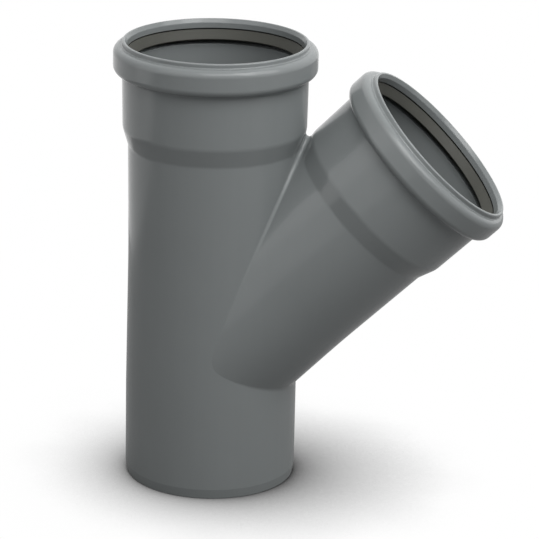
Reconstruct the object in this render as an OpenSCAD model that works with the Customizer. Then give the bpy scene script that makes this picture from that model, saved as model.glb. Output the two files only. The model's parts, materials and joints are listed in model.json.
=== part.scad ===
// A 45 degree branch for drain pipes: a straight run that stands on its plain end,
// with a push-fit socket on top and an equal branch that leaves its side.
// Each socket has a bead with a rubber lip seal in it.
// The origin is the middle of the plain end's face and +Z runs up the straight run.

/* [Pipe] */
// Outside diameter of the pipes that the fitting joins
pipe_d = 110; // [100:1:125]
// Wall of the body and of the plain end
wall = 2.7; // [2.2:0.1:3.4]
// Room between a pipe and the bore of its socket, on the radius
pipe_play = 0.4; // [0.3:0.05:0.6]

/* [Body] */
// Angle between the run and the branch
branch_angle = 45; // [42:0.5:55]
// Straight length of the plain end that a socket takes
spigot_len = 60; // [50:1:75]
// Height of the chamfer round the plain end
chamfer_h = 6.1; // [3:0.1:8]
// Depth of that chamfer, on the radius
chamfer_in = 0.9; // [0.5:0.1:1.4]
// Length between the plain end and the crease under the branch
spigot_neck = 3.1; // [2:0.1:10]
// Length between the crotch and the foot of the sockets
crotch_neck = 4.3; // [3:0.1:12]
// How much slimmer each arm is midway along, on the radius
waist = 1.1; // [0.5:0.1:1.4]
// How much slimmer the branch is than the run, on the radius
branch_ease = 0.4; // [0.2:0.05:0.5]
// Radius of the fillet on top of the web in the crotch
crotch_fillet = 2.2; // [1.6:0.1:2.4]
// Radius of the fillet along the crease beside that web
crease_fillet = 1.2; // [1:0.1:1.6]
// Radius of the fillet under the branch
heel_fillet = 6; // [3:0.5:8]

/* [Socket] */
// Depth from the mouth to the shoulder that stops a pipe
socket_depth = 55.6; // [48:0.2:75]
// Wall of the socket
socket_wall = 3.2; // [2.8:0.1:4]
// Draft of the socket's outside, on the radius
socket_draft = 0.5; // [0.2:0.05:0.7]
// Length of the cone that joins a socket to its arm
taper_len = 11.8; // [10:0.1:18]
// How far the outside of that cone starts above the shoulder inside
taper_lead = 0.6; // [0.3:0.1:1.5]
// How far the mouth opens out to lead a pipe in, on the radius
mouth_lead = 1.5; // [1:0.1:1.8]
// Length of that opening
mouth_len = 2.4; // [1.5:0.1:3]

/* [Bead] */
// How far the bead stands out from the socket, on the radius
bead_out = 5.6; // [5.6:0.1:6.5]
// Distance from the mouth to the top of the bead
bead_top = 3.1; // [2.5:0.1:3.6]
// Distance from the mouth to the foot of the bead's straight side
bead_side = 19.5; // [18.5:0.1:22]
// Length of the slope below that side
bead_slope = 1; // [0.6:0.1:2]
// Radius of the bead's shoulder
bead_round = 4.6; // [3:0.1:4.6]
// Radius of the bead's lower edge
heel_round = 4.7; // [2.5:0.1:4.7]
// Wall of the bead
bead_wall = 2.8; // [2.4:0.1:3]
// Thickness of the bead's foot below the groove, along the socket
bead_base = 4.1; // [3.4:0.1:4.6]

/* [Seal] */
// Length of the guiding land between the mouth and the seal's groove
land_len = 5.9; // [5:0.1:6.5]
// How far the lip of a seal reaches into the way of a pipe, on the radius
lip_bite = 3.6; // [2:0.1:4.5]
// How far the lip reaches down the socket from the groove's upper edge
lip_reach = 6.4; // [5.5:0.1:7]
// Thickness of the lip
lip_t = 1.5; // [1.2:0.1:1.8]
// Room between a seal and its groove
seal_gap = 0.2; // [0.1:0.05:0.3]

/* [Hidden] */
$fn = 120;
// Overlap that keeps a cut clear of the face it leaves through
past = 2;
// Degrees between the points of a rounded corner
arc_step = 15;
plastic_grey = [0.46, 0.48, 0.48];
rubber_black = [0.13, 0.12, 0.11];

// Radii of the outside
pipe_r = pipe_d / 2;
waist_r = pipe_r - waist;
foot_r = pipe_r - branch_ease;
root_r = pipe_r - 2 * branch_ease;

// Radii of the sockets and the bores
bore_r = waist_r - wall;
socket_r = pipe_r + pipe_play;
socket_out_r = socket_r + socket_wall;
cone_r = socket_out_r - socket_draft;
bead_r = socket_out_r + bead_out;
groove_r = bead_r - bead_wall;

// Places along the arms, measured from the crossing of their axes
crotch_t = waist_r * (1 + cos(branch_angle)) / sin(branch_angle);
foot_t = crotch_t + crotch_neck;
waist_t = foot_t / 2;
cone_t = foot_t + taper_len;
arm_len = cone_t - taper_lead + socket_depth;

// Height of that crossing, and of the run's mouth
centre_h = spigot_len + spigot_neck + waist_r * tan(branch_angle / 2);
top_h = centre_h + arm_len;

// Places in a socket, measured back from its mouth, and the slope of the groove's flanks
groove_flank = 1.5;
bead_foot = bead_side + bead_slope;
groove_top = land_len + groove_flank;
groove_foot = bead_foot - bead_base;
groove_side = groove_foot - groove_flank;
bore_top = socket_depth + taper_len;

// Roundings of the socket's edges and corners
mouth_round = 1.5;
rim_round = 0.9;
corner_round = 0.8;
bead_corner_round = 1.4;
groove_round = 1.2;
edge_round = 0.4;
cone_top_round = 12;
cone_foot_round = 8;

// The seal: how its foot stands back from the bore and from the groove's flanks, the
// width of its slanted shoulder, and where its lip starts and how its edge is bevelled
foot_back = 2.4;
foot_end_room = 0.4;
foot_side_room = 0.6;
lip_room = 0.8;
shoulder_room = 0.2;
shoulder_drop = 0.9;
shoulder_width = 2.5;
shoulder_round = 0.5;
lip_root = 2.6;
lip_bevel_in = 0.8;
lip_bevel_down = 0.6;
lip_round = 0.4;
lip_back_round = 0.3;

// Outside of each arm as [place along its axis, radius]
run_side = [
    [spigot_len, pipe_r],
    [centre_h + waist_t, waist_r],
    [centre_h + foot_t, foot_r],
    [centre_h + cone_t, cone_r],
];
branch_side = [
    [0, root_r],
    [waist_t, waist_r - branch_ease],
    [foot_t, foot_r],
    [cone_t, cone_r],
];

// The fillet's band: the turn at which the web has run out, how its steps are spread,
// and how it is set in the walls
web_turn = 60;
band_steps = 40;
band_crowding = 1.3;
band_arc = 4;
band_side = 3;
band_sink = 0.08;
band_depth = 1.2;
roll_tries = 40;

function unit(v) = v / norm(v);

// Turns [place, radius] pairs into the [radius, place, rounding] corners of a path
function corners(side, rounding) = [for (p = side) [p[1], p[0], rounding]];

// The points of the arc that rounds the corner at b on the way from a to c
function rounded_corner(a, b, c, radius) =
    let (
        u = unit(a - b),
        v = unit(c - b),
        half = acos(u * v) / 2,
        centre = b + unit(u + v) * radius / sin(half),
        first = b + u * radius / tan(half) - centre,
        last = b + v * radius / tan(half) - centre,
        start = atan2(first[1], first[0]),
        turn = (atan2(last[1], last[0]) - start + 540) % 360 - 180,
        steps = ceil(abs(turn) / arc_step)
    )
    [for (i = [0 : steps]) centre + radius * [cos(start + turn * i / steps), sin(start + turn * i / steps)]];

// The closed path through [radius, place, rounding] corners
function rounded_path(path) =
    let (n = len(path), flat = [for (p = path) [p[0], p[1]]])
    [for (i = [0 : n - 1])
        each path[i][2] == 0
            ? [flat[i]]
            : rounded_corner(flat[(i + n - 1) % n], flat[i], flat[(i + 1) % n], path[i][2])];

// Outside of a socket, from its cone to the mouth
function socket_outside(side, mouth) = [
    [side[2][1], side[2][0], cone_foot_round],
    [side[3][1], side[3][0], cone_top_round],
    [socket_out_r, mouth - bead_foot, bead_corner_round],
    [bead_r, mouth - bead_side, heel_round],
    [bead_r, mouth - bead_top, bead_round],
    [socket_out_r, mouth - bead_top, rim_round],
    [socket_out_r, mouth, rim_round],
];

// Inside of a socket, from above the mouth down to a bore of radius inner_r
function socket_inside(mouth, inner_r) =
    let (rim = rounded_corner(
        [socket_out_r, mouth], [socket_r + mouth_lead, mouth], [socket_r, mouth - mouth_len], edge_round
    ))
    [
        [rim[0][0], mouth + past, 0],
        for (p = rim) [p[0], p[1], 0],
        [socket_r, mouth - mouth_len, mouth_round],
        [socket_r, mouth - land_len, 0],
        [groove_r, mouth - groove_top, groove_round],
        [groove_r, mouth - groove_side, groove_round],
        [socket_r, mouth - groove_foot, edge_round],
        [socket_r, mouth - socket_depth, corner_round],
        [inner_r, mouth - bore_top, cone_foot_round],
    ];

module run_outside() {
    rotate_extrude() polygon(rounded_path([
        [0, 0, 0],
        [pipe_r - chamfer_in, 0, 0],
        [pipe_r, chamfer_h, 0],
        each corners([run_side[0], run_side[1]], 0),
        each socket_outside(run_side, top_h),
        [0, top_h, 0],
    ]));
}

module branch_outside() {
    rotate_extrude() polygon(rounded_path([
        [0, 0, 0],
        each corners([branch_side[0], branch_side[1]], 0),
        each socket_outside(branch_side, arm_len),
        [0, arm_len, 0],
    ]));
}

module run_inside() {
    rotate_extrude() polygon(rounded_path([
        [0, top_h + past, 0],
        each socket_inside(top_h, bore_r),
        [bore_r, spigot_len, 0],
        [pipe_r - wall, 0, 0],
        [pipe_r - wall, -past, 0],
        [0, -past, 0],
    ]));
}

module branch_inside() {
    rotate_extrude() polygon(rounded_path([
        [0, arm_len + past, 0],
        each socket_inside(arm_len, bore_r - branch_ease),
        [bore_r - branch_ease, 0, 0],
        [0, 0, 0],
    ]));
}

// Puts its children on the branch, with their +Z out along it from the crossing
module on_branch() {
    translate([0, 0, centre_h]) rotate([0, branch_angle, 0]) children();
}

// A point at the given depth below the run's outside, at height z and turned round the run
function below_run(turn, z, depth) =
    let (r = lookup(z, run_side) - depth) [r * cos(turn), r * sin(turn), z];

// The same below the branch's outside, at distance t along it; turn 0 faces the crotch
function below_branch(turn, t, depth) =
    let (r = lookup(t, branch_side) - depth)
    [
        t * sin(branch_angle) - r * cos(turn) * cos(branch_angle),
        r * sin(turn),
        centre_h + t * cos(branch_angle) + r * cos(turn) * sin(branch_angle),
    ];

// Where two plain tubes of the waist's radius would meet, along the branch
function plain_meeting(turn) =
    waist_r * (abs(cos(turn)) + cos(turn) * cos(branch_angle)) / sin(branch_angle);

// How far along the branch a point lies at the given depth below both outsides
function meeting(turn, depth, t, tries = roll_tries) =
    let (
        p = below_branch(turn, t, depth),
        run_x = sqrt(max(0, pow(lookup(p[2], run_side) - depth, 2) - p[1] * p[1])),
        next = t + (run_x - p[0]) / sin(branch_angle)
    )
    tries == 0 ? t : meeting(turn, depth, next, tries - 1);

// Radius of the fillet at a turn round the branch
function fillet_r(turn) =
    let (web = abs(turn) < web_turn ? (1 + cos(180 * turn / web_turn)) / 2 : 0)
    crease_fillet + (heel_fillet - crease_fillet) * (1 - cos(turn)) / 2
        + (crotch_fillet - crease_fillet) * web;

// One section of the fillet's band: the arc of a ball that rolls in the crease, then
// points inside both walls, down to the crease of the walls themselves
function band_section(turn) =
    let (
        fillet = fillet_r(turn),
        lift = fillet - band_sink,
        start_t = plain_meeting(turn),
        ball_t = meeting(turn, -lift, start_t),
        ball = below_branch(turn, ball_t, -lift),
        root_t = meeting(turn, band_depth, start_t),
        root = below_branch(turn, root_t, band_depth),

        ball_turn = atan2(ball[1], ball[0]),
        root_turn = atan2(root[1], root[0]),
        to_run = -[cos(ball_turn), sin(ball_turn), 0],
        to_branch = unit(below_branch(turn, ball_t, 0) - ball),
        spread = acos(to_run * to_branch)
    )
    [
        for (i = [0 : band_arc])
            ball + fillet * (sin(spread * (1 - i / band_arc)) * to_run
                + sin(spread * i / band_arc) * to_branch) / sin(spread),
        for (i = [0 : band_side])
            below_branch(turn, ball_t + (root_t - ball_t) * i / band_side, band_depth),
        for (i = [band_side - 1 : -1 : 0])
            below_run(
                ball_turn + (root_turn - ball_turn) * i / band_side,
                ball[2] + (root[2] - ball[2]) * i / band_side,
                band_depth
            ),
    ];

// Fillet all round the foot of the branch. In the crotch it climbs into the slot
// between the two sockets' cones and closes it as a small web.
module junction_fillet() {
    turns = [for (i = [-band_steps : band_steps - 1])
        180 * sign(i) * pow(abs(i) / band_steps, band_crowding)];
    rings = [for (turn = turns) band_section(turn)];
    n = len(rings[0]);
    m = len(rings);
    polyhedron(
        points = [for (ring = rings) each ring],
        faces = [for (i = [0 : m - 1], j = [0 : n - 1])
            [i * n + j, (i + 1) % m * n + j, (i + 1) % m * n + (j + 1) % n, i * n + (j + 1) % n]]
    );
}

module fitting_body() {
    color(plastic_grey)
        difference() {
            union() {
                run_outside();
                on_branch() branch_outside();
                junction_fillet();
            }
            run_inside();
            on_branch() branch_inside();
        }
}

// A lip seal for the socket whose mouth is at the given place: a foot that fills the
// groove, and a lip that slants down and inwards from the groove's upper edge
module lip_seal(mouth) {
    seal_r = groove_r - seal_gap;
    lip_r = pipe_r - lip_bite;
    lip_top = mouth - land_len - lip_room;
    lip_tip = mouth - land_len - lip_reach;
    foot_in = socket_r + foot_back;
    rotate_extrude() polygon(rounded_path([
        [socket_r + seal_gap, lip_top, lip_back_round],
        [seal_r - shoulder_width, mouth - groove_top + shoulder_room, shoulder_round],
        [seal_r, mouth - groove_top - shoulder_drop, corner_round],
        [seal_r, mouth - groove_side + foot_side_room, corner_round],
        [foot_in, mouth - groove_side - foot_end_room, corner_round],
        [foot_in, lip_tip + lip_root, corner_round],
        [lip_r + lip_bevel_in * lip_t, lip_tip - lip_bevel_down * lip_t, lip_round],
        [lip_r, lip_tip, lip_round],
    ]));
}

module run_seal() {
    color(rubber_black) lip_seal(top_h);
}

module branch_seal() {
    color(rubber_black) on_branch() lip_seal(arm_len);
}

fitting_body();
run_seal();
branch_seal();
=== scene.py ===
"""The looks of a 45 degree drain pipe branch: its moulded body, its two lip seals, and a plain studio.

Lengths are in millimetres until a mesh is made, and angles are in radians.
An arm is the straight run or the branch. A place on an arm is the distance along its axis:
from the plain end's face on the run, and from the crossing of the two axes on the branch.
"""
import json
import logging
import math
from collections.abc import Callable, Iterator
from contextlib import contextmanager
from dataclasses import dataclass
from enum import Enum

import bmesh
import bpy
import numpy as np
from mathutils import Matrix, Vector


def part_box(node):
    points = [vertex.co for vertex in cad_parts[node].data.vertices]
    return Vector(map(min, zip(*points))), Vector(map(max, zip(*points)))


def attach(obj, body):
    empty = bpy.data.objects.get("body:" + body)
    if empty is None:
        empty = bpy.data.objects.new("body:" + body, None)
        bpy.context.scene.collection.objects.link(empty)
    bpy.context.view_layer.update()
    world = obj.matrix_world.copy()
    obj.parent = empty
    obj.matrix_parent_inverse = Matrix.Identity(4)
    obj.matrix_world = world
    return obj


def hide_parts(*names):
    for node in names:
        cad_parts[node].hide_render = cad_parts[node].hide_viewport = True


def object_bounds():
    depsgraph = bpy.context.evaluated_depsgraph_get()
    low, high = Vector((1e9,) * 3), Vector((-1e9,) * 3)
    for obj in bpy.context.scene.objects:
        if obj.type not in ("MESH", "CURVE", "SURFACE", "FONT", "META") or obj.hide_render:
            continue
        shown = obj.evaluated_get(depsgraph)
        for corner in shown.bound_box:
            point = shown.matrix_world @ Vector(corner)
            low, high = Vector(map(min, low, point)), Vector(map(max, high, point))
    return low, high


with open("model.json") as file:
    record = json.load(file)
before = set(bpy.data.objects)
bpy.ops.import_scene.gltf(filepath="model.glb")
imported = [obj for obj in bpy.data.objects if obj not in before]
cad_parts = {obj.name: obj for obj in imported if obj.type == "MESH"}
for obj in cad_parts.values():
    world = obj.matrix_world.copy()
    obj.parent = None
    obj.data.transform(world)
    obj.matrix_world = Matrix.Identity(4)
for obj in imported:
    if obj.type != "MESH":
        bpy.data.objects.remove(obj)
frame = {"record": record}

CAD_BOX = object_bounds()
MM = 0.001
# Points of a mesh that are nearer to each other than this, in metres, are merged.
WELD = 0.002 * MM
# How far from a cut through a profile the points lie, from which the new end is worked out.
CUT_REACH = 90.0
# Points that are nearer than this to such a cut give way to the new end.
SAME_PLACE = 1e-6
# The turns and the places of a patch's columns.
Columns = tuple[np.ndarray, np.ndarray]
# Gives a rolling ball's radii at turns round the branch.
Balls = Callable[[np.ndarray], np.ndarray]
log = logging.getLogger("pipe_branch")


class Slot(Enum):
    """The record's material slots."""

    PLASTIC = "grey_plastic"
    RUBBER = "seal_rubber"


def unit(vectors: np.ndarray) -> np.ndarray:
    """Scales vectors along the last axis to length one."""
    return vectors / np.linalg.norm(vectors, axis=-1, keepdims=True)


def even_turns(columns: int) -> np.ndarray:
    """Turns that go once round in even steps."""
    return np.arange(columns) * 2 * math.pi / columns


def full_ring(half: np.ndarray, sign: int | np.ndarray = 1) -> np.ndarray:
    """Carries values from the crotch to the heel on to the other side, times sign, as one ring."""
    return np.concatenate([half, half[-2:0:-1] * sign])


def way_out(azimuth: float, elevation: float) -> Vector:
    """The way from the object to a camera or a lamp. Azimuth 0 is -Y, and both are in degrees."""
    around, up = math.radians(azimuth), math.radians(elevation)
    return Vector((math.sin(around) * math.cos(up), -math.cos(around) * math.cos(up), math.sin(up)))


@contextmanager
def edited(mesh: bpy.types.Mesh) -> Iterator[bmesh.types.BMesh]:
    """Opens a mesh for changes and writes them back at the end.

    Args:
        mesh: The mesh.

    Yields:
        The open mesh.
    """
    work = bmesh.new()
    work.from_mesh(mesh)
    yield work
    work.to_mesh(mesh)
    work.free()


def placed(name: str, data: bpy.types.ID) -> bpy.types.Object:
    """Puts a mesh, a lamp or a camera into the scene.

    Args:
        name: The object's name.
        data: Its mesh, its lamp or its camera.

    Returns:
        The object.
    """
    made = bpy.data.objects.new(name, data)
    bpy.context.collection.objects.link(made)
    return made


@dataclass(frozen=True)
class Corner:
    """A corner of a profile that is turned round an arm's axis.

    Attributes:
        radius: Distance from the axis.
        place: Distance along the axis.
        rounding: Radius of the arc that rounds the corner.
    """

    radius: float
    place: float
    rounding: float = 0.0


@dataclass(frozen=True)
class Profile:
    """Points of a profile in order, with the way the surface faces at each.

    Attributes:
        radius: Distances from the axis.
        place: Distances along the axis.
        facing: Unit normals as (away from the axis, along the axis).
    """

    radius: np.ndarray
    place: np.ndarray
    facing: np.ndarray

    @staticmethod
    def traced(corners: list[Corner], arc_step: float = math.radians(9)) -> "Profile":
        """Walks along corners with the material on the left and rounds each corner with an arc.

        Args:
            corners: The corners in order. The first and the last are plain ends.
            arc_step: Largest angle between the points of an arc.

        Returns:
            The profile's points.
        """
        marks = np.array([[c.radius, c.place] for c in corners])
        along = unit(np.diff(marks, axis=0))
        faces = np.stack([along[:, 1], -along[:, 0]], axis=1)
        points = [marks[0]]
        facing = [faces[0]]
        for i in range(1, len(corners) - 1):
            half = math.acos(float(np.clip(-along[i - 1] @ along[i], -1, 1))) / 2
            cut = corners[i].rounding / math.tan(half)
            start = marks[i] - along[i - 1] * cut
            inward = unit(along[i] - along[i - 1])
            centre = marks[i] + inward * corners[i].rounding / math.sin(half)
            outside = math.copysign(1, float((start - centre) @ faces[i - 1]))
            first = math.atan2(faces[i - 1][1], faces[i - 1][0])
            turn = math.atan2(faces[i][1], faces[i][0]) - first
            turn = (turn + math.pi) % (2 * math.pi) - math.pi
            steps = max(2, math.ceil(abs(turn) / arc_step))
            for k in range(steps + 1):
                angle = first + turn * k / steps
                face = np.array([math.cos(angle), math.sin(angle)])
                points.append(centre + outside * corners[i].rounding * face)
                facing.append(face)
        points.append(marks[-1])
        facing.append(faces[-1])
        points, facing = np.array(points), np.array(facing)
        return Profile(points[:, 0], points[:, 1], facing)

    @staticmethod
    def chained(*parts: "Profile") -> "Profile":
        """Joins stretches end to end."""
        columns = (np.concatenate([getattr(p, key) for p in parts]) for key in ("radius", "place", "facing"))
        return Profile(*columns)

    def picked(self, rows: slice | np.ndarray) -> "Profile":
        """The points that a slice or a mask picks out."""
        return Profile(self.radius[rows], self.place[rows], self.facing[rows])

    def halves(self) -> tuple["Profile", "Profile"]:
        """Splits the profile at its mouth into the outside and the inside."""
        mouth = int(np.argmax(self.place))
        return self.picked(slice(mouth + 1)), self.picked(slice(mouth, None))

    def between(self, low: float, high: float) -> "Profile":
        """Cuts out the stretch between two places, with a point exactly at each.

        Args:
            low: The lower place.
            high: The upper place.

        Returns:
            The stretch, which runs as the profile does.
        """
        kept = (self.place > low) & (self.place < high)
        ends = (low, high) if self.place[-1] > self.place[0] else (high, low)
        return Profile.chained(self.point_at(ends[0]), self.picked(kept), self.point_at(ends[1]))

    def point_at(self, place: float) -> "Profile":
        """The profile's one point at a place."""
        radius, facing = self.at(np.array([place]))
        return Profile(radius, np.array([place]), facing)

    def at(self, place: np.ndarray) -> tuple[np.ndarray, np.ndarray]:
        """Reads the profile at any place on a stretch where it runs one way along the axis.

        Args:
            place: Places along the axis.

        Returns:
            The radii there and the unit normals there.
        """
        order = np.argsort(self.place, kind="stable")
        known = self.place[order]
        radius = np.interp(place, known, self.radius[order])
        across = np.interp(place, known, self.facing[order, 0])
        along = np.interp(place, known, self.facing[order, 1])
        return radius, unit(np.stack([across, along], axis=-1))


@dataclass(frozen=True)
class ArmFrame:
    """Where an arm's axis lies.

    Attributes:
        foot: The point of the axis at place 0.
        lean: Angle of the axis from upright, towards +X.
    """

    foot: np.ndarray
    lean: float

    @property
    def axis(self) -> np.ndarray:
        """The way along the axis to the mouth."""
        return np.array([math.sin(self.lean), 0, math.cos(self.lean)])

    def across(self, turn: np.ndarray) -> np.ndarray:
        """The way out from the axis at each turn.

        Args:
            turn: Turns round the axis. On both arms, turn 0 faces the crotch.

        Returns:
            Unit vectors along a new last axis.
        """
        side = -1 if self.lean > 0 else 1
        crotch = side * np.array([math.cos(self.lean), 0, -math.sin(self.lean)])
        return np.cos(turn)[..., None] * crotch + np.sin(turn)[..., None] * np.array([0, 1, 0])

    def point(self, turn: np.ndarray, radius: np.ndarray, place: np.ndarray) -> np.ndarray:
        """Points at the given turns, radii and places."""
        return self.foot + place[..., None] * self.axis + radius[..., None] * self.across(turn)

    def normal(self, turn: np.ndarray, facing: np.ndarray) -> np.ndarray:
        """Turns profile normals into normals in space."""
        return facing[..., :1] * self.across(turn) + facing[..., 1:] * self.axis


@dataclass(frozen=True)
class PipeSizes:
    """The driving sizes of the fitting, which repeat those of the construction.

    The pipe's radius, the socket's radius, the branch's angle and the heights come from the
    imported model. The rest is what a branch of this kind has, and the stub is how far the
    branch's profile reaches past the crossing into the run.
    """

    pipe_r: float
    socket_r: float
    lean: float
    crossing: float
    arm_len: float
    top: float
    wall: float = 2.7
    waist: float = 1.1
    branch_ease: float = 0.4
    spigot_len: float = 60.0
    chamfer_h: float = 6.1
    chamfer_in: float = 0.9
    crotch_fillet: float = 2.2
    crease_fillet: float = 1.2
    heel_fillet: float = 6.0
    web_turn: float = math.radians(60)
    bore_edge: float = 0.6
    socket_depth: float = 55.6
    socket_wall: float = 3.2
    socket_draft: float = 0.5
    taper_len: float = 11.8
    taper_lead: float = 0.6
    mouth_lead: float = 1.5
    mouth_len: float = 2.4
    bead_out: float = 5.6
    bead_top: float = 3.1
    bead_side: float = 19.5
    bead_slope: float = 1.0
    bead_wall: float = 2.8
    bead_base: float = 4.1
    land_len: float = 5.9
    lip_bite: float = 3.6
    lip_reach: float = 6.4
    lip_t: float = 1.5
    seal_gap: float = 0.2
    groove_flank: float = 1.5
    bead_round: float = 4.6
    heel_round: float = 4.7
    bead_corner_round: float = 1.4
    cone_top_round: float = 12.0
    cone_foot_round: float = 8.0
    mouth_round: float = 1.5
    rim_round: float = 0.9
    groove_round: float = 1.2
    corner_round: float = 0.8
    edge_round: float = 0.4
    land_edge: float = 0.25
    chamfer_round: float = 1.5
    end_edge: float = 0.35
    bend_round: float = 60.0
    waist_round: float = 900.0
    stub: float = 20.0

    @staticmethod
    def from_frame(record: dict, box: tuple) -> "PipeSizes":
        """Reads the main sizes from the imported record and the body's box.

        Args:
            record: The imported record.
            box: The body's lowest and highest corner, in metres.

        Returns:
            The sizes.
        """
        mounts = {m["name"]: m for m in record["mounts"]}
        branch = mounts["branch_socket_mouth"]
        lean = math.atan2(branch["axis"][0], branch["axis"][2])
        crossing = (branch["pos_m"][2] - branch["pos_m"][0] / math.tan(lean)) / MM
        top = box[1][2] / MM
        return PipeSizes(
            pipe_r=mounts["spigot"]["dims"]["r_mm"],
            socket_r=mounts["run_socket_mouth"]["dims"]["r_mm"],
            lean=lean,
            crossing=crossing,
            arm_len=top - crossing,
            top=top,
        )

    @property
    def waist_r(self) -> float:
        """Radius of the run midway between the crossing and its socket."""
        return self.pipe_r - self.waist

    @property
    def foot_r(self) -> float:
        """Radius of an arm at the foot of its socket's cone."""
        return self.pipe_r - self.branch_ease

    @property
    def bore_r(self) -> float:
        """Radius of the run's bore."""
        return self.waist_r - self.wall

    @property
    def socket_out_r(self) -> float:
        """Radius of the outside of a socket."""
        return self.socket_r + self.socket_wall

    @property
    def bead_r(self) -> float:
        """Radius of the outside of a bead."""
        return self.socket_out_r + self.bead_out

    @property
    def groove_r(self) -> float:
        """Radius of the groove that holds a seal."""
        return self.bead_r - self.bead_wall

    @property
    def cone_place(self) -> float:
        """Distance from the crossing to the top of a socket's cone."""
        return self.arm_len - self.socket_depth + self.taper_lead

    @property
    def foot_place(self) -> float:
        """Distance from the crossing to the foot of that cone."""
        return self.cone_place - self.taper_len

    @property
    def groove_top(self) -> float:
        """Distance from the mouth to the upper end of the groove's floor."""
        return self.land_len + self.groove_flank

    @property
    def groove_side(self) -> float:
        """Distance from the mouth to the lower end of the groove's floor."""
        return self.groove_foot - self.groove_flank

    @property
    def groove_foot(self) -> float:
        """Distance from the mouth to the groove's lower edge."""
        return self.bead_side + self.bead_slope - self.bead_base

    def crease_radius(self, turns: np.ndarray) -> np.ndarray:
        """Gives the radius of the fillet along the crease, which is fuller on the web in the crotch.

        Args:
            turns: Turns round the branch, from 0 in the crotch.

        Returns:
            The radii.
        """
        web = np.where(turns < self.web_turn, (1 + np.cos(math.pi * turns / self.web_turn)) / 2, 0)
        under = (1 - np.cos(turns)) / 2
        return (
            self.crease_fillet
            + (self.heel_fillet - self.crease_fillet) * under
            + (self.crotch_fillet - self.crease_fillet) * web
        )

    def outside(self, low: list[Corner], start: float) -> list[Corner]:
        """Lists the corners of an arm's outside, from its low end to the edge of its mouth.

        Args:
            low: The corners below the cone's foot.
            start: The place of the crossing of the axes.

        Returns:
            The corners in order.
        """
        mouth = start + self.arm_len
        return [
            *low,
            Corner(self.foot_r, start + self.foot_place, self.cone_foot_round),
            Corner(self.socket_out_r - self.socket_draft, start + self.cone_place, self.cone_top_round),
            Corner(self.socket_out_r, mouth - self.bead_side - self.bead_slope, self.bead_corner_round),
            Corner(self.bead_r, mouth - self.bead_side, self.heel_round),
            Corner(self.bead_r, mouth - self.bead_top, self.bead_round),
            Corner(self.socket_out_r, mouth - self.bead_top, self.rim_round),
            Corner(self.socket_out_r, mouth, self.rim_round),
        ]

    def inside(self, bore: float, start: float) -> list[Corner]:
        """Lists the corners of an arm's inside, from the edge of its mouth down into its bore.

        Args:
            bore: Radius of the bore.
            start: The place of the crossing of the axes.

        Returns:
            The corners in order.
        """
        mouth = start + self.arm_len
        return [
            Corner(self.socket_r + self.mouth_lead, mouth, self.edge_round),
            Corner(self.socket_r, mouth - self.mouth_len, self.mouth_round),
            Corner(self.socket_r, mouth - self.land_len, self.land_edge),
            Corner(self.groove_r, mouth - self.groove_top, self.groove_round),
            Corner(self.groove_r, mouth - self.groove_side, self.groove_round),
            Corner(self.socket_r, mouth - self.groove_foot, self.edge_round),
            Corner(self.socket_r, mouth - self.socket_depth, self.corner_round),
            Corner(bore, mouth - self.socket_depth - self.taper_len, self.cone_foot_round),
        ]

    def run(self) -> Profile:
        """Traces the run: up its outside, over the mouth and down its bore to the plain end.

        Returns:
            The run's profile.
        """
        half = self.crossing + self.foot_place / 2
        low = [
            Corner(self.pipe_r - self.wall / 2, 0),
            Corner(self.pipe_r - self.chamfer_in, 0, self.end_edge),
            Corner(self.pipe_r, self.chamfer_h, self.chamfer_round),
            Corner(self.pipe_r, self.spigot_len, self.bend_round),
            Corner(self.waist_r, half, self.waist_round),
        ]
        bore = [
            Corner(self.bore_r, self.spigot_len, self.bend_round),
            Corner(self.pipe_r - self.wall, 0, self.end_edge),
            Corner(self.pipe_r - self.wall / 2, 0),
        ]
        inside = self.inside(self.bore_r, self.crossing)
        return Profile.traced([*self.outside(low, self.crossing), *inside, *bore])

    def branch(self) -> Profile:
        """Traces the branch: up its outside, over the mouth and down its bore.

        Returns:
            The branch's profile.
        """
        ease = self.branch_ease
        low = [
            Corner(self.pipe_r - 2 * ease, -self.stub),
            Corner(self.pipe_r - 2 * ease, 0, self.bend_round),
            Corner(self.waist_r - ease, self.foot_place / 2, self.waist_round),
        ]
        bore = self.bore_r - ease
        return Profile.traced([*self.outside(low, 0), *self.inside(bore, 0), Corner(bore, -self.stub)])


@dataclass(frozen=True)
class Seam:
    """Where a ball that rolls along the crease between the two arms touches each of them.

    Attributes:
        ball: The ball's radius at each step.
        centre: The ball's centres.
        run_turn: Turns round the run at which it touches.
        run_place: Places on the run at which it touches.
        branch_turn: Turns round the branch at which it touches.
        branch_place: Places on the branch at which it touches.
    """

    ball: np.ndarray
    centre: np.ndarray
    run_turn: np.ndarray
    run_place: np.ndarray
    branch_turn: np.ndarray
    branch_place: np.ndarray


@dataclass
class Patch:
    """A grid of points with normals, whose rows run right round an arm or a seam.

    Attributes:
        points: Points as rows, columns, XYZ.
        normals: Unit normals at the points.
    """

    points: np.ndarray
    normals: np.ndarray

    def faces(self, first: int) -> np.ndarray:
        """Builds the patch's four-sided faces so that they face as its normals do.

        Args:
            first: Number of the patch's first point in the whole mesh.

        Returns:
            The faces as rows of four point numbers.
        """
        rows, columns = self.points.shape[:2]
        number = np.arange(rows * columns).reshape(rows, columns)
        beside = np.roll(number, -1, axis=1)
        quads = np.stack([number[:-1], beside[:-1], beside[1:], number[1:]], axis=-1).reshape(-1, 4)
        flat = self.points.reshape(-1, 3)
        cross = np.cross(flat[quads[:, 2]] - flat[quads[:, 0]], flat[quads[:, 3]] - flat[quads[:, 1]])
        if np.sum(cross * self.normals.reshape(-1, 3)[quads[:, 0]]) < 0:
            quads = quads[:, ::-1]
        return quads + first


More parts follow.
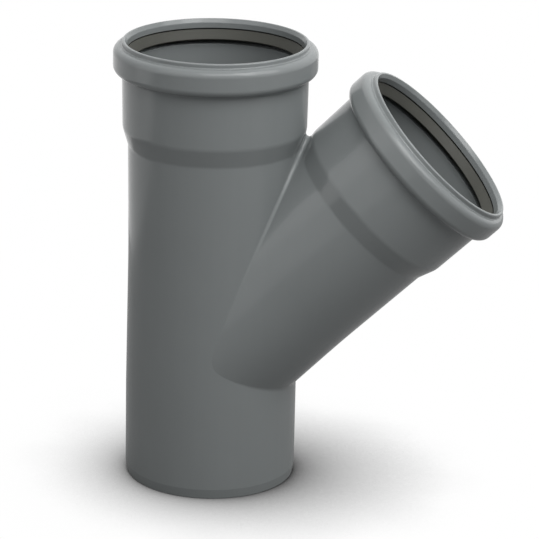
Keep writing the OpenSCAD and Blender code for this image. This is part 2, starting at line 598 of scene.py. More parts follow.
@dataclass
class FittingBody:
    """The body, moulded in one piece: the run, the branch, their sockets and the crease.

    Attributes:
        sizes: The fitting's sizes.
        half_seam: Steps along a quarter of the seam, from the crotch to its widest point.
        back: Columns of the run behind the seam.
        seam_rows: Rows across the fillet.
        upper_rows: Rows from a seam up to the first fixed row of an arm.
        lower_rows: Rows from a seam down to the first fixed row of the run.
        row_gap: Least distance between rows.
        low_row: Place of that lower fixed row, between the crease's heel and the plain end.
        foot_room: How far below a cone's foot the fixed rows start on the outside.
        top_room: How far above the cone's top they end.
        bore_room: How far below the cone in the bore the one fixed row of the inside lies.
        overlap: How far the outer walls that the ball touches reach past the fixed rows.
        chamfer_room: How far above the run's chamfer its outer wall starts.
        end_room: How far above the run's end face its inner wall starts.
        roll_room: How far past the cone's top and the crossing the ball's roll starts and ends.
        roll_steps: Steps that are tried along that way.
        widest_span: Turns round the branch, in degrees, between which the seam is at its widest.
        widest_steps: Steps that are tried between them.
        crowding: Power by which the seam's steps crowd towards the crotch.
    """

    sizes: PipeSizes
    half_seam: int = 40
    back: int = 88
    seam_rows: int = 8
    upper_rows: int = 18
    lower_rows: int = 8
    row_gap: float = 0.1
    low_row: float = 40.0
    foot_room: float = 3.0
    top_room: float = 12.0
    bore_room: float = 2.0
    overlap: float = 15.0
    chamfer_room: float = 1.0
    end_room: float = 2.0
    roll_room: float = 8.0
    roll_steps: int = 3000
    widest_span: tuple[float, float] = (70.0, 100.0)
    widest_steps: int = 241
    crowding: float = 1.35

    def __post_init__(self) -> None:
        """Sets up both arms."""
        self.run_frame = ArmFrame(np.zeros(3), 0.0)
        self.branch_frame = ArmFrame(np.array([0, 0, self.sizes.crossing]), self.sizes.lean)

    def roll(self, turns: np.ndarray, balls: np.ndarray, run: Profile, branch: Profile) -> Seam:
        """Rolls a ball down between the arms until it touches both, at each turn round the branch.

        Args:
            turns: Turns round the branch.
            balls: The ball's radius at each turn.
            run: The run's wall that the ball touches.
            branch: The branch's wall that the ball touches.

        Returns:
            The seam.
        """
        steps = np.linspace(self.sizes.cone_place + self.roll_room, -self.roll_room, self.roll_steps)
        radius, facing = branch.at(steps)
        facing = facing * np.sign(facing[:, :1])
        run_radius, run_facing = run.at(run.place)
        run_facing = run_facing * np.sign(run_facing[:, :1])
        order = np.argsort(run.place, kind="stable")
        rows = []
        for turn, ball in zip(turns, balls):
            place = steps + ball * facing[:, 1]
            path = self.branch_frame.point(np.full(len(steps), turn), radius + ball * facing[:, 0], place)
            lifted = (run.place + ball * run_facing[:, 1])[order]
            reach = (run_radius + ball * run_facing[:, 0])[order]
            room = np.hypot(path[:, 0], path[:, 1]) - np.interp(path[:, 2], lifted, reach)
            room[path[:, 0] < 0] = -1
            stop = int(np.argmax(room < 0))
            share = room[stop - 1] / (room[stop - 1] - room[stop])
            centre = path[stop - 1] + (path[stop] - path[stop - 1]) * share
            branch_place = steps[stop - 1] + (steps[stop] - steps[stop - 1]) * share
            run_place = np.interp(centre[2], lifted, run.place[order])
            rows.append([*centre, math.atan2(centre[1], centre[0]), run_place, branch_place])
        found = np.array(rows)
        return Seam(balls, found[:, :3], found[:, 3], found[:, 4], turns, found[:, 5])

    def seam(self, run: Profile, branch: Profile, balls: Balls) -> Seam:
        """Finds the seam with steps that crowd towards the crotch.

        Args:
            run: The run's wall.
            branch: The branch's wall.
            balls: Gives the ball's radii at turns round the branch.

        Returns:
            The seam over half a turn, from the crotch to the heel.
        """
        trial = np.radians(np.linspace(*self.widest_span, self.widest_steps))
        widest = trial[np.argmax(self.roll(trial, balls(trial), run, branch).run_turn)]
        share = np.linspace(0, 1, self.half_seam + 1)
        upper = widest * share**self.crowding
        lower = widest + (math.pi - widest) * share[1:]
        turns = np.concatenate([upper, lower])
        return self.roll(turns, balls(turns), run, branch)

    def fillet(self, seam: Seam, run: Profile, branch: Profile, inner: bool) -> Patch:
        """Lays the strip that joins the two arms along a seam.

        Args:
            seam: The seam over half a turn.
            run: The run's wall.
            branch: The branch's wall.
            inner: Whether the strip rounds the edge between the bores.

        Returns:
            The strip as a closed patch.
        """
        run_r, run_facing = run.at(seam.run_place)
        branch_r, branch_facing = branch.at(seam.branch_place)
        on_run = self.run_frame.point(seam.run_turn, run_r, seam.run_place)
        on_branch = self.branch_frame.point(seam.branch_turn, branch_r, seam.branch_place)
        first, last = unit(on_run - seam.centre), unit(on_branch - seam.centre)
        spread = np.arccos(np.clip(np.sum(first * last, axis=1), -1, 1))[:, None]
        rows, ways = [], []
        for share in np.linspace(0, 1, self.seam_rows + 1):
            way = (np.sin(spread * (1 - share)) * first + np.sin(spread * share) * last) / np.sin(spread)
            rows.append(seam.centre + seam.ball[:, None] * way)
            ways.append(way if inner else -way)
        rows[0], rows[-1] = on_run, on_branch
        ways[0] = self.run_frame.normal(seam.run_turn, run_facing)
        ways[-1] = self.branch_frame.normal(seam.branch_turn, branch_facing)
        flip = np.array([1, -1, 1])
        points, normals = (np.array([full_ring(row, flip) for row in each]) for each in (rows, ways))
        return Patch(points, normals)

    def row_places(self, start: np.ndarray, stops: list[float], upper: bool) -> np.ndarray:
        """Places rows of points from a seam to the fixed rows of an arm.

        Args:
            start: Place of the seam at each column.
            stops: Places of the fixed rows where the seam leaves room, in order away from it.
            upper: Whether they lie above the seam or below it.

        Returns:
            Places as rows and columns, the first row on the seam.
        """
        way, rows = (1, self.upper_rows) if upper else (-1, self.lower_rows)
        first = way * np.maximum(way * stops[0], way * start + self.row_gap * rows)
        share = (np.arange(1, rows + 1) / rows)[:, None]
        places = [start, *(start + share * (first - start))]
        for stop in stops[1:]:
            places.append(way * np.maximum(way * stop, way * places[-1] + self.row_gap))
        return np.array(places)

    def turned(self, arm: ArmFrame, wall: Profile, seam: Columns, stops: list[float], upper: bool) -> Patch:
        """Lays rows on an arm's wall from a seam to the last stop, where their turns are even.

        Args:
            arm: The arm.
            wall: The arm's wall.
            seam: Turns and places of the columns at the seam.
            stops: Places of the fixed rows, in order away from the seam.
            upper: Whether they lie above the seam or below it.

        Returns:
            The patch.
        """
        turns, start = seam
        places = self.row_places(start, stops, upper)
        share = np.clip((places - start) / (stops[-1] - start), 0, 1)
        share = share * share * (3 - 2 * share)
        turn = turns + (even_turns(len(turns)) - turns) * share
        radius, facing = wall.at(places)
        return Patch(arm.point(turn, radius, places), arm.normal(turn, facing))

    def ring(self, arm: ArmFrame, profile: Profile, columns: int) -> Patch:
        """Turns a stretch of profile all the way round an arm.

        Args:
            arm: The arm.
            profile: The stretch.
            columns: How many even steps it is turned in.

        Returns:
            The patch.
        """
        turn = np.broadcast_to(even_turns(columns), (len(profile.place), columns))
        radius, place = (np.broadcast_to(v[:, None], turn.shape) for v in (profile.radius, profile.place))
        facing = np.broadcast_to(profile.facing[:, None, :], (*turn.shape, 2))
        return Patch(arm.point(turn, radius, place), arm.normal(turn, facing))

    def run_columns(self, seam: Seam, upper: bool) -> Columns:
        """Sets out the run's columns at a seam: those that end on it and those behind it.

        Args:
            seam: The seam over half a turn.
            upper: Whether the columns lie above the seam or below it.

        Returns:
            The columns' turns and places.
        """
        part = slice(self.half_seam + 1) if upper else slice(None, self.half_seam - 1, -1)
        turn, place = seam.run_turn[part], seam.run_place[part]
        behind = np.linspace(turn[-1], 2 * math.pi - turn[-1], self.back + 1)[1:-1]
        turns = np.concatenate([turn, behind, 2 * math.pi - turn[:0:-1]])
        places = np.concatenate([place, np.full(len(behind), place[-1]), place[:0:-1]])
        return turns, places

    def branched(self, run: Profile, branch: Profile, balls: Balls, foot: float, top: float) -> list[Patch]:
        """Makes the outside or the inside of the body round its branch.

        Args:
            run: The run's wall.
            branch: The branch's wall.
            balls: Gives the radii of the ball that rolls between them, at turns round the branch.
            foot: Distance from the crossing to the first fixed row of each arm.
            top: Distance to the last one. On the inside there is only one, so it is the same.

        Returns:
            The patches.
        """
        seam = self.seam(run, branch, balls)
        patches = [self.fillet(seam, run, branch, foot == top)]
        around = np.unwrap(full_ring(seam.branch_turn, -1)), full_ring(seam.branch_place)
        for arm, wall, columns, start in (
            (self.run_frame, run, self.run_columns(seam, True), self.sizes.crossing),
            (self.branch_frame, branch, around, 0.0),
        ):
            fixed = wall.place[(wall.place > start + foot) & (wall.place < start + top)]
            first = [start + foot] if foot < top else []
            patches.append(self.turned(arm, wall, columns, [*first, *fixed, start + top], True))
        patches.append(self.turned(self.run_frame, run, self.run_columns(seam, False), [self.low_row], False))
        return patches

    def patches(self) -> list[Patch]:
        """Makes all the patches of the body: round the branch, the two mouths and the plain end.

        Returns:
            The patches, which share their edges.
        """
        sizes, low = self.sizes, self.low_row
        run_columns = 2 * self.half_seam + self.back
        foot, top = sizes.foot_place - self.foot_room, sizes.cone_place + self.top_room
        bore_end = sizes.arm_len - sizes.socket_depth - sizes.taper_len
        bore_top = bore_end - self.bore_room
        run_out, run_in = sizes.run().halves()
        branch_out, branch_in = sizes.branch().halves()
        outside = self.branched(
            run_out.between(sizes.chamfer_h + self.chamfer_room, sizes.crossing + top + self.overlap),
            branch_out.between(-sizes.stub, top + self.overlap),
            sizes.crease_radius,
            foot,
            top,
        )
        inside = self.branched(
            run_in.between(self.end_room, sizes.crossing + bore_end),
            branch_in.between(-sizes.stub, bore_end),
            lambda turns: np.full_like(turns, sizes.bore_edge),
            bore_top,
            bore_top,
        )
        run_mouth = joined(run_out, sizes.crossing + top, run_in, sizes.crossing + bore_top, above=True)
        branch_mouth = joined(branch_out, top, branch_in, bore_top, above=True)
        plain_end = joined(run_in, low, run_out, low, above=False)
        return [
            *outside,
            *inside,
            self.ring(self.run_frame, run_mouth, run_columns),
            self.ring(self.run_frame, plain_end, run_columns),
            self.ring(self.branch_frame, branch_mouth, 4 * self.half_seam),
        ]

    def build(self) -> bpy.types.Object:
        """Makes the body's mesh with the exact normals of its surfaces.

        Returns:
            The body.
        """
        points, normals, faces, count = [], [], [], 0
        for patch in self.patches():
            points.append(patch.points.reshape(-1, 3))
            normals.append(patch.normals.reshape(-1, 3))
            faces.append(patch.faces(count))
            count += len(points[-1])
        return welded("body_shell", np.vstack(points) * MM, np.vstack(normals), np.vstack(faces))


def joined(first: Profile, first_place: float, second: Profile, second_place: float, above: bool) -> Profile:
    """Joins the end of one stretch to the start of the next, cut at exact places.

    Args:
        first: The stretch that comes first.
        first_place: Where the first is cut.
        second: The stretch that follows it.
        second_place: Where the second is cut.
        above: Whether the parts above the cuts are kept, or those below.

    Returns:
        The joined stretch.
    """
    sign = 1 if above else -1
    cuts, kept = [], []
    for stretch, place in ((first, first_place), (second, second_place)):
        cuts.append(stretch.picked(np.abs(stretch.place - place) < CUT_REACH).point_at(place))
        kept.append(stretch.picked(sign * stretch.place > sign * place + SAME_PLACE))
    return Profile.chained(cuts[0], *kept, cuts[1])


def welded(name: str, points: np.ndarray, normals: np.ndarray, faces: np.ndarray) -> bpy.types.Object:
    """Makes one closed mesh of patches that share their edges, and keeps their exact normals.

    Args:
        name: The object's name.
        points: Points in metres.
        normals: Unit normals at the points.
        faces: Four-sided faces.

    Returns:
        The piece.
    """
    raw = bpy.data.meshes.new(name)
    raw.from_pydata(points.tolist(), [], faces.tolist())
    kept = raw.attributes.new("true_normal", "FLOAT_VECTOR", "POINT")
    kept.data.foreach_set("vector", normals.ravel())
    with edited(raw) as work:
        bmesh.ops.remove_doubles(work, verts=work.verts, dist=WELD)
    flat = np.empty(len(raw.vertices) * 3)
    raw.attributes["true_normal"].data.foreach_get("vector", flat)
    raw.attributes.remove(raw.attributes["true_normal"])
    raw.polygons.foreach_set("use_smooth", [True] * len(raw.polygons))
    raw.normals_split_custom_set_from_vertices(unit(flat.reshape(-1, 3)).tolist())
    return placed(name, raw)


class Tree:
    """A node tree that is built up by short calls.

    Attributes:
        tree: Blender's tree.
    """

    def __init__(self, tree: bpy.types.NodeTree) -> None:
        """Empties the tree.

        Args:
            tree: The tree to build in.
        """
        self.tree = tree
        tree.nodes.clear()

    def node(self, kind: str, settings: dict | None = None, **inputs: object) -> bpy.types.Node:
        """Adds a node.

        Args:
            kind: The node's type.
            settings: Properties of the node.
            **inputs: A value or an output for each input, by its name with _ for each space.

        Returns:
            The node.
        """
        made = self.tree.nodes.new(kind)
        for key, value in (settings or {}).items():
            setattr(made, key, value)
        for key, value in inputs.items():
            self.feed(made.inputs[key.replace("_", " ")], value)
        return made

    def feed(self, socket: bpy.types.NodeSocket, value: object) -> None:
        """Links an output to a socket, or sets the socket's value.

        Args:
            socket: The input socket.
            value: An output, or a plain value.
        """
        if isinstance(value, bpy.types.NodeSocket):
            self.tree.links.new(value, socket)
        else:
            socket.default_value = value

    def ordered(self, kind: str, settings: dict | None, *values: object) -> bpy.types.Node:
        """Adds a node whose inputs are filled in order.

        Args:
            kind: The node's type.
            settings: Properties of the node.
            *values: A value or an output for each of its first inputs.

        Returns:
            The node.
        """
        made = self.node(kind, settings)
        for socket, value in zip(made.inputs, values):
            self.feed(socket, value)
        return made

    def math(self, operation: str, *values: object) -> bpy.types.NodeSocket:
        """Adds a Math node and gives its output."""
        return self.ordered("ShaderNodeMath", {"operation": operation}, *values).outputs[0]

    def whole(self, operation: str, *values: object) -> bpy.types.NodeSocket:
        """Adds an Integer Math node and gives its output."""
        return self.ordered("FunctionNodeIntegerMath", {"operation": operation}, *values).outputs[0]

    def vector(self, operation: str, *values: object) -> bpy.types.bpy_prop_collection:
        """Adds a Vector Math node and gives its outputs, Vector and Value."""
        return self.ordered("ShaderNodeVectorMath", {"operation": operation}, *values).outputs

    def socket(self, name: str, kind: str, way: str = "INPUT", default: object = None) -> None:
        """Gives a group a named input or output.

        Args:
            name: The socket's name.
            kind: Its type, without the words NodeSocket.
            way: INPUT or OUTPUT.
            default: An input's default value.
        """
        made = self.tree.interface.new_socket(name=name, in_out=way, socket_type=f"NodeSocket{kind}")
        if default is not None:
            made.default_value = default


def set_input(modifier: bpy.types.NodesModifier, name: str, value: object) -> None:
    """Sets a Geometry Nodes modifier's input by its identifier.

    Args:
        modifier: The modifier.
        name: The input's name, by which the identifier is found.
        value: The input's value.
    """
    for item in modifier.node_group.interface.items_tree:
        if item.item_type == "SOCKET" and item.in_out == "INPUT" and item.name == name:
            modifier[item.identifier] = value
            return
    raise KeyError(name)


def turned_ring_tree() -> bpy.types.NodeTree:
    """Builds the tree that turns a closed outline in the XZ plane round an arm's axis.

    Returns:
        The tree. Its inputs are Segments, Centre, Lean and Material.
    """
    made = Tree(bpy.data.node_groups.new("turned_ring", "GeometryNodeTree"))
    made.socket("Geometry", "Geometry")
    made.socket("Segments", "Int", default=180)
    made.socket("Centre", "Vector")
    made.socket("Lean", "Float", default=0.0)
    made.socket("Material", "Material")
    made.socket("Geometry", "Geometry", "OUTPUT")
    given = made.node("NodeGroupInput").outputs
    outline = made.node("GeometryNodeAttributeDomainSize", Geometry=given["Geometry"])
    points = outline.outputs["Point Count"]
    across = made.whole("ADD", points, 1)
    around = made.whole("ADD", given["Segments"], 1)
    grid = made.node("GeometryNodeMeshGrid", Vertices_X=around, Vertices_Y=across)
    index = made.node("GeometryNodeInputIndex").outputs["Index"]
    step = made.whole("DIVIDE_FLOOR", index, across)
    point = made.whole("MODULO", made.whole("MODULO", index, across), points)
    sample = made.node(
        "GeometryNodeSampleIndex",
        {"data_type": "FLOAT_VECTOR", "domain": "POINT"},
        Geometry=given["Geometry"],
        Value=made.node("GeometryNodeInputPosition").outputs["Position"],
        Index=point,
    ).outputs["Value"]
    angle = made.math("MULTIPLY", made.math("DIVIDE", step, given["Segments"]), 2 * math.pi)
    swung = made.node("ShaderNodeVectorRotate", {"rotation_type": "Z_AXIS"}, Vector=sample, Angle=angle)
    tilt = made.node("ShaderNodeCombineXYZ", Y=given["Lean"]).outputs["Vector"]
    shape = grid.outputs["Mesh"]
    for kind, inputs in (
        ("SetPosition", {"Position": swung.outputs["Vector"]}),
        ("MergeByDistance", {"Distance": WELD}),
        ("SetShadeSmooth", {"Shade_Smooth": True}),
        ("Transform", {"Translation": given["Centre"], "Rotation": tilt}),
        ("RealizeInstances", {}),
        ("SetMaterial", {"Material": given["Material"]}),
    ):
        shape = made.node(f"GeometryNode{kind}", Geometry=shape, **inputs).outputs["Geometry"]
    made.node("NodeGroupOutput", Geometry=shape)
    return made.tree


@dataclass
class LipSeal:
    """A rubber seal with a foot in the socket's groove and a lip that points down the socket.

    Attributes:
        name: The piece's name.
        node: The construction's solid that it stands for.
        sizes: The fitting's sizes.
        arm: The arm whose socket it seals.
        mouth: Place of the socket's mouth on that arm.
        segments: Steps round the ring.
        foot_back: How far the foot's inside stands back from the bore.
        foot_end_room: Height of the foot's inner edge over the groove's lower flank.
        foot_side_room: The same at the foot's outer edge.
        lip_room: Distance from the land to the top of the lip.
        shoulder_room: How far the slanted shoulder starts above the groove's floor.
        shoulder_drop: How far it ends below that.
        shoulder_width: Its width.
        lip_root: Distance along the socket from the lip's tip to its root in the foot.
        lip_bevel: The bevel of the lip's edge, outwards and down, as shares of its thickness.
        roundings: The roundings of the section's corners, from the top of the lip on.
        arc_step: Largest angle between the points of a rounding.
    """

    name: str
    node: str
    sizes: PipeSizes
    arm: ArmFrame
    mouth: float
    segments: int = 216
    foot_back: float = 2.4
    foot_end_room: float = 0.4
    foot_side_room: float = 0.6
    lip_room: float = 0.8
    shoulder_room: float = 0.2
    shoulder_drop: float = 0.9
    shoulder_width: float = 2.5
    lip_root: float = 2.6
    lip_bevel: tuple[float, float] = (0.8, 0.6)
    roundings: tuple[float, ...] = (0.3, 0.4, 0.4, 0.8, 0.8, 0.8, 0.8, 0.5)
    arc_step: float = math.radians(15)

    def outline(self) -> Profile:
        """Traces the seal's section as a closed outline.

        Returns:
            The outline, whose last point is its first.
        """
        sizes, mouth = self.sizes, self.mouth
        seal_r = sizes.groove_r - sizes.seal_gap
        lip_r = sizes.pipe_r - sizes.lip_bite
        top = mouth - sizes.land_len
        tip = top - sizes.lip_reach
        groove_top, groove_side = mouth - sizes.groove_top, mouth - sizes.groove_side
        foot_in = sizes.socket_r + self.foot_back
        bevel_in, bevel_down = (share * sizes.lip_t for share in self.lip_bevel)
        marks = (
            (sizes.socket_r + sizes.seal_gap, top - self.lip_room),
            (lip_r, tip),
            (lip_r + bevel_in, tip - bevel_down),
            (foot_in, tip + self.lip_root),
            (foot_in, groove_side - self.foot_end_room),
            (seal_r, groove_side + self.foot_side_room),
            (seal_r, groove_top - self.shoulder_drop),
            (seal_r - self.shoulder_width, groove_top + self.shoulder_room),
        )
        corners = [Corner(*mark, rounding) for mark, rounding in zip(marks, self.roundings)]
        last, first = corners[-1], corners[0]
        middle = Corner((last.radius + first.radius) / 2, (last.place + first.place) / 2)
        return Profile.traced([middle, *corners, middle], self.arc_step)

    def build(self, tree: bpy.types.NodeTree, material: bpy.types.Material) -> bpy.types.Object:
        """Makes the seal.

        Args:
            tree: The tree that turns an outline round.
            material: The rubber.

        Returns:
            The seal's object.
        """
        outline = self.outline().picked(slice(-1))
        count = len(outline.radius)
        ring = np.stack([outline.radius, np.zeros(count), outline.place], axis=1) * MM
        mesh = bpy.data.meshes.new(self.name)
        mesh.from_pydata(ring.tolist(), [(i, (i + 1) % count) for i in range(count)], [])
        seal = placed(self.name, mesh)
        turn = seal.modifiers.new("turn", "NODES")
        turn.node_group = tree
        set_input(turn, "Segments", self.segments)
        set_input(turn, "Centre", Vector(self.arm.foot * MM))
        set_input(turn, "Lean", self.arm.lean)
        set_input(turn, "Material", material)
        return settled(seal)


def settled(piece: bpy.types.Object) -> bpy.types.Object:
    """Turns a piece's modifiers into a plain mesh that faces outwards.

    Args:
        piece: The object.

    Returns:
        The same object.
    """
    evaluated = piece.evaluated_get(bpy.context.evaluated_depsgraph_get())
    mesh = bpy.data.meshes.new_from_object(evaluated)
    mesh.name = piece.name
    piece.modifiers.clear()
    piece.data = mesh
    with edited(mesh) as work:
        bmesh.ops.recalc_face_normals(work, faces=work.faces)
    return piece


def moulded_grain_group(defaults: dict[str, float]) -> bpy.types.NodeTree:
    """Builds the shader group for the unevenness of moulded plastic and rubber.

    Args:
        defaults: Default values of its inputs, by name. Sizes are in metres.

    Returns:
        The group. Its outputs are Shade, Roughness and Height.
    """
    made = Tree(bpy.data.node_groups.new("moulded_grain", "ShaderNodeTree"))
    made.socket("Vector", "Vector")
    for name, default in defaults.items():
        made.socket(name, "Float", default=default)
    for name in ("Shade", "Roughness", "Height"):
        made.socket(name, "Float", "OUTPUT")
    given = made.node("NodeGroupInput").outputs

    def noise(size: object, detail: float, vector: object) -> bpy.types.NodeSocket:
        """Adds a noise about zero.

        Args:
            size: The size of its spots, in metres.
            detail: How many finer layers it has.
            vector: Where it is read.

        Returns:
            Its value, from -0.5 to 0.5.
        """
        scale = made.math("DIVIDE", 1.0, size)
        texture = made.node("ShaderNodeTexNoise", Vector=vector, Scale=scale, Detail=detail, Roughness=0.55)
        return made.math("SUBTRACT", texture.outputs[0], 0.5)

    parts = made.node("ShaderNodeSeparateXYZ", Vector=given["Vector"]).outputs
    shrink = made.math("DIVIDE", given["Flow Size"], given["Flow Length"])
    height = made.math("MULTIPLY", parts["Z"], shrink)
    drawn = made.node("ShaderNodeCombineXYZ", X=parts["X"], Y=parts["Y"], Z=height)
    cloud = noise(given["Cloud Size"], 3.0, given["Vector"])
    flow = noise(given["Flow Size"], 2.0, drawn.outputs["Vector"])
    grain = noise(given["Grain Size"], 2.0, given["Vector"])
    wave = noise(given["Wave Size"], 1.0, given["Vector"])
    shade = made.math("MULTIPLY_ADD", cloud, given["Cloud Strength"], 1.0)
    shade = made.math("MULTIPLY_ADD", flow, given["Flow Strength"], shade)
    both = made.math("ADD", cloud, flow)
    rough = made.math("MULTIPLY_ADD", both, given["Roughness Spread"], given["Base Roughness"])
    height = made.math("MULTIPLY", grain, given["Grain Height"])
    height = made.math("MULTIPLY_ADD", wave, given["Wave Height"], height)
    made.node("NodeGroupOutput", Shade=shade, Roughness=rough, Height=height)
    return made.tree


@dataclass(frozen=True)
class Finish:
    """A moulded finish: its colour and gloss, and how uneven it is. Lengths are in metres.

    Attributes:
        name: The material's name.
        colour: Base colour, linear.
        specular: Specular level.
        grain: The values that the grain group gets, by input name.
    """

    name: str
    colour: tuple[float, float, float]
    specular: float
    grain: dict[str, float]

    def material(self, group: bpy.types.NodeTree) -> bpy.types.Material:
        """Makes the material.

        Args:
            group: The grain group.

        Returns:
            The material.
        """
        made = bpy.data.materials.new(self.name)
        made.use_nodes = True
        tree = Tree(made.node_tree)
        where = tree.node("ShaderNodeTexCoord").outputs["Object"]
        grain = tree.node("ShaderNodeGroup", {"node_tree": group}, Vector=where)
        for name, value in self.grain.items():
            grain.inputs[name].default_value = value
        uneven = grain.outputs
        shade = tree.ordered("ShaderNodeCombineColor", None, *[uneven["Shade"]] * 3)
        tint = tree.node(
            "ShaderNodeMix",
            {"data_type": "RGBA", "blend_type": "MULTIPLY"},
            Factor=1.0,
            A=(*self.colour, 1.0),
            B=shade.outputs["Color"],
        )
        bump = tree.node("ShaderNodeBump", Height=uneven["Height"], Distance=1.0, Strength=1.0)
        surface = tree.node(
            "ShaderNodeBsdfPrincipled",
            Base_Color=tint.outputs["Result"],
            Roughness=uneven["Roughness"],
            Specular_IOR_Level=self.specular,
            Normal=bump.outputs["Normal"],
        )
        tree.node("ShaderNodeOutputMaterial", Surface=surface.outputs["BSDF"])
        return made


GREY_PLASTIC = Finish(
    name="grey_moulded_plastic",
    colour=(0.189, 0.203, 0.204),
    specular=0.33,
    grain={
        "Cloud Size": 0.05,
        "Cloud Strength": 0.08,
        "Flow Size": 0.005,
        "Flow Length": 0.14,
        "Flow Strength": 0.03,
        "Grain Size": 0.0007,
        "Grain Height": 0.000004,
        "Wave Size": 0.03,
        "Wave Height": 0.00003,
        "Base Roughness": 0.17,
        "Roughness Spread": 0.03,
    },
)
SEAL_RUBBER = Finish(
    name="seal_rubber",
    colour=(0.044, 0.0445, 0.038),
    specular=0.3,
    grain={
        "Cloud Size": 0.012,
        "Cloud Strength": 0.35,
        "Flow Size": 0.002,
        "Flow Length": 0.004,
        "Flow Strength": 0.20,
        "Grain Size": 0.0005,
        "Grain Height": 0.00003,
        "Wave Size": 0.01,
        "Wave Height": 0.00005,
        "Base Roughness": 0.62,
        "Roughness Spread": 0.15,
    },
)


@dataclass(frozen=True)
class Softbox:
    """A square or oblong lamp, placed round the object. Lengths are in metres.

    Attributes:
        name: The lamp's name.
        azimuth: Where it stands, in degrees. 0 is the camera's side and 90 its right.
        elevation: Its height over the horizon, in degrees.
        distance: Its distance from the middle of the object.
        size: Width and height.
        watts: Its power.
        mirrored: Whether glossy surfaces mirror it.
    """

    name: str
    azimuth: float
    elevation: float
    distance: float
    size: tuple[float, float]
    watts: float
    mirrored: bool = True

    def build(self, middle: Vector, view: float) -> bpy.types.Object:
        """Makes the lamp, aimed at the middle of the object.

        Args:
            middle: The middle of the object.
            view: The camera's azimuth, in degrees.

        Returns:
            The lamp.
        """
        back = way_out(self.azimuth + view, self.elevation)
        data = bpy.data.lights.new(self.name, "AREA")
        data.shape = "RECTANGLE"
        data.size, data.size_y = self.size
        data.energy = self.watts
        lamp = placed(self.name, data)
        lamp.visible_glossy = self.mirrored
        lamp.location = middle + back * self.distance
        lamp.rotation_euler = (-back).to_track_quat("-Z", "Y").to_euler()
        return lamp


@dataclass(frozen=True)
class Viewpoint:
    """The camera's place. Lengths are in metres and angles in degrees.

    Attributes:
        azimuth: Its turn round the object, 0 looking along +Y.
        elevation: Its height over the horizon.
        distance: Its distance from what it looks at.
        roll: Its tilt, positive where the picture's top leans left.
        lens: Focal length in millimetres on a 36 mm sensor.
        target: The point that it looks at.
    """

    azimuth: float
    elevation: float
    distance: float
    roll: float
    lens: float
    target: tuple[float, float, float]

    def build(self) -> bpy.types.Object:
        """Makes the scene's camera.

        Returns:
            The camera.
        """
        back = way_out(self.azimuth, self.elevation)
        level = (-back).cross(Vector((0, 0, 1))).normalized()
        upright = level.cross(-back)
        lean = math.radians(self.roll)
        right = level * math.cos(lean) + upright * math.sin(lean)
        upright = upright * math.cos(lean) - level * math.sin(lean)
        data = bpy.data.cameras.new("camera")
        data.lens = self.lens
        data.sensor_width = 36.0
        camera = placed("camera", data)
        turn = Matrix((right, upright, back)).transposed()
        camera.matrix_world = Matrix.Translation(Vector(self.target) + back * self.distance) @ turn.to_4x4()
        bpy.context.scene.camera = camera
        return camera


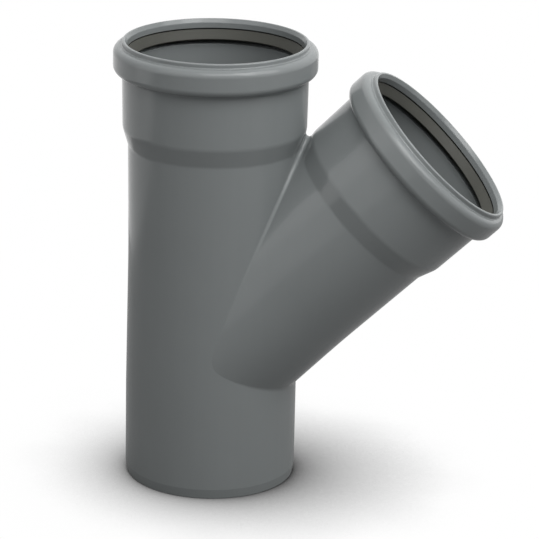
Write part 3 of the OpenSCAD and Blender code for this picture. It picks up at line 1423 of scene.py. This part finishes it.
@dataclass(frozen=True)
class Studio:
    """A pale floor on white, with soft lamps.

    Attributes:
        view: The camera's place.
        lamps: The lamps.
        floor_colour: The floor's grey level as the camera sees it, linear.
        bounce_colour: Its grey level to the light that it throws back on the object.
        mirrored: How much of its white the object's gloss shows, where the rest is the darker ground.
        floor_radius: The floor's radius, in metres.
        floor_sides: How many sides its round edge has.
        fade_span: Where it starts and ends to fade into the white behind it, in metres.
        edge_azimuth: The side on which the object mirrors the white behind the floor, as a lamp's azimuth.
        edge_distance: How far from the object that starts, in metres.
        contact: How far the painted shadow round the object's foot reaches over the floor, in metres.
        contact_span: How much of the sky a point of the floor sees where the painted shadow is black and
            where the floor is bare.
        contact_depth: How fast the painted shadow fades between them, as a power.
        contact_samples: How many ways a point of the floor looks for what is open.
        fill: Strength of the even light from all round.
    """

    view: Viewpoint
    lamps: tuple[Softbox, ...]
    floor_colour: float = 1.0
    bounce_colour: float = 0.2
    mirrored: float = 0.2
    floor_radius: float = 1.6
    floor_sides: int = 96
    fade_span: tuple[float, float] = (0.3, 0.85)
    edge_azimuth: float = -136.0
    edge_distance: float = 0.48
    contact: float = 0.14
    contact_span: tuple[float, float] = (0.36, 0.88)
    contact_depth: float = 1.4
    contact_samples: int = 16
    fill: float = 0.2

    def build(self, low: Vector, high: Vector) -> None:
        """Makes the camera, the lamps, the floor and the world.

        Args:
            low: The object's lowest corner.
            high: The object's highest corner.
        """
        self.view.build()
        middle = (low + high) / 2
        for lamp in self.lamps:
            lamp.build(middle, self.view.azimuth)
        self.floor(middle, low.z)
        self.world()
        bpy.context.scene.view_settings.view_transform = "Standard"

    def floor(self, middle: Vector, height: float) -> None:
        """Lays the floor.

        Args:
            middle: The middle of the object.
            height: The floor's height.
        """
        mesh = bpy.data.meshes.new("floor")
        with edited(mesh) as work:
            bmesh.ops.create_circle(work, cap_ends=True, segments=self.floor_sides, radius=self.floor_radius)
            bmesh.ops.translate(work, verts=work.verts, vec=(middle.x, middle.y, height))
        floor = placed("floor", mesh)
        mesh.materials.append(self.floor_material(middle))

    def floor_material(self, middle: Vector) -> bpy.types.Material:
        """Makes the floor's material: white paper to look at, and a darker table to light by.

        The paper carries a painted shadow round the object's foot, deepest where little of the sky is open,
        and fades out towards the floor's edge. The gloss mirrors a share of it, and beyond an edge on one
        side the white behind it.

        Args:
            middle: The middle of the object.

        Returns:
            The material.
        """
        made = bpy.data.materials.new("floor_paper")
        made.use_nodes = True
        tree = Tree(made.node_tree)
        where = tree.node("ShaderNodeTexCoord").outputs["Object"]
        path = tree.node("ShaderNodeLightPath").outputs
        offset = tree.vector("SUBTRACT", where, (middle.x, middle.y, 0))["Vector"]
        reach = tree.vector("LENGTH", offset)["Value"]
        soft = {"interpolation_type": "SMOOTHSTEP"}
        fade = tree.ordered("ShaderNodeMapRange", soft, reach, *self.fade_span)
        along = tree.vector("DOT_PRODUCT", where, way_out(self.edge_azimuth + self.view.azimuth, 0))["Value"]
        beyond = tree.math("GREATER_THAN", along, self.edge_distance)
        beyond = tree.math("MULTIPLY", beyond, path["Is Glossy Ray"])
        seen = tree.math("MULTIPLY", fade.outputs[0], path["Is Camera Ray"])
        away = tree.math("MAXIMUM", seen, beyond)
        # Painted shadow: ambient occlusion round the object's foot lowers the paper's glow, which is no cast
        # shadow from the lamps.
        ways = {"samples": self.contact_samples}
        near = tree.node("ShaderNodeAmbientOcclusion", ways, Distance=self.contact)
        open_sky = tree.ordered("ShaderNodeMapRange", None, near.outputs["AO"], *self.contact_span)
        painted_shadow = tree.math("POWER", open_sky.outputs[0], self.contact_depth)
        paper = tree.node("ShaderNodeEmission", Strength=tree.math("MULTIPLY", painted_shadow, self.floor_colour))
        table = tree.node("ShaderNodeBsdfDiffuse", Color=(self.bounce_colour,) * 3 + (1.0,))
        white = tree.math("MAXIMUM", path["Is Camera Ray"], path["Is Transmission Ray"])
        white = tree.math("MULTIPLY_ADD", path["Is Glossy Ray"], self.mirrored, white)
        ground = tree.ordered("ShaderNodeMixShader", None, white, table.outputs[0], paper.outputs[0])
        clear = tree.node("ShaderNodeBsdfTransparent")
        mix = tree.ordered("ShaderNodeMixShader", None, away, ground.outputs[0], clear.outputs[0])
        tree.node("ShaderNodeOutputMaterial", Surface=mix.outputs[0])
        return made

    def world(self) -> None:
        """Makes the world white to look at and a soft fill to light by."""
        world = bpy.data.worlds.new("studio")
        bpy.context.scene.world = world
        world.use_nodes = True
        tree = Tree(world.node_tree)
        path = tree.node("ShaderNodeLightPath").outputs
        seen = tree.math("MAXIMUM", path["Is Camera Ray"], path["Is Glossy Ray"])
        seen = tree.math("MAXIMUM", seen, path["Is Transmission Ray"])
        strength = tree.math("MULTIPLY_ADD", seen, 1.0 - self.fill, self.fill)
        light = tree.node("ShaderNodeBackground", Color=(1.0, 1.0, 1.0, 1.0), Strength=strength)
        tree.node("ShaderNodeOutputWorld", Surface=light.outputs[0])


PHOTO_VIEW = Viewpoint(
    azimuth=6.38,
    elevation=18.886,
    distance=1.847338,
    roll=1.266,
    lens=193.28,
    target=(0.036612, 0.0, 0.138046),
)
STUDIO = Studio(
    view=PHOTO_VIEW,
    lamps=(
        Softbox("right", 56, 48, 1.5, (1.1, 1.1), 12.5),
        Softbox("front", 18, 56, 1.5, (1.2, 1.0), 10.5),
        Softbox("left_front", -32, 42, 1.5, (1.6, 1.2), 4.0),
        Softbox("left", -80, 10, 1.5, (0.9, 1.2), 2.0),
        Softbox("low_right", 62, 10, 1.5, (0.7, 0.9), 1.0),
        Softbox("back_right", 140, 40, 1.5, (1.0, 1.0), 8.5, mirrored=False),
        Softbox("back_left", -160, 40, 1.5, (1.0, 1.0), 8.5, mirrored=False),
    ),
)


def main() -> None:
    """Builds the studio and the pieces, and reports each piece."""
    logging.basicConfig(level=logging.INFO, format="%(name)s: %(message)s")
    STUDIO.build(*CAD_BOX)
    sizes = PipeSizes.from_frame(frame["record"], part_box("fitting_body"))
    grain = moulded_grain_group(GREY_PLASTIC.grain)
    plastic = GREY_PLASTIC.material(grain)
    rubber = SEAL_RUBBER.material(grain)
    fitting = FittingBody(sizes)
    body = fitting.build()
    body.data.materials.append(plastic)
    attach(body, "root")
    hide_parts("fitting_body")
    log.info("%s: %d faces", body.name, len(body.data.polygons))
    ring = turned_ring_tree()
    for seal in (
        LipSeal("run_lip_seal", "run_seal", sizes, fitting.run_frame, sizes.top),
        LipSeal("branch_lip_seal", "branch_seal", sizes, fitting.branch_frame, sizes.arm_len),
    ):
        piece = seal.build(ring, rubber)
        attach(piece, "root")
        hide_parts(seal.node)
        log.info("%s: %d faces", piece.name, len(piece.data.polygons))


if __name__ == "__main__":
    main()
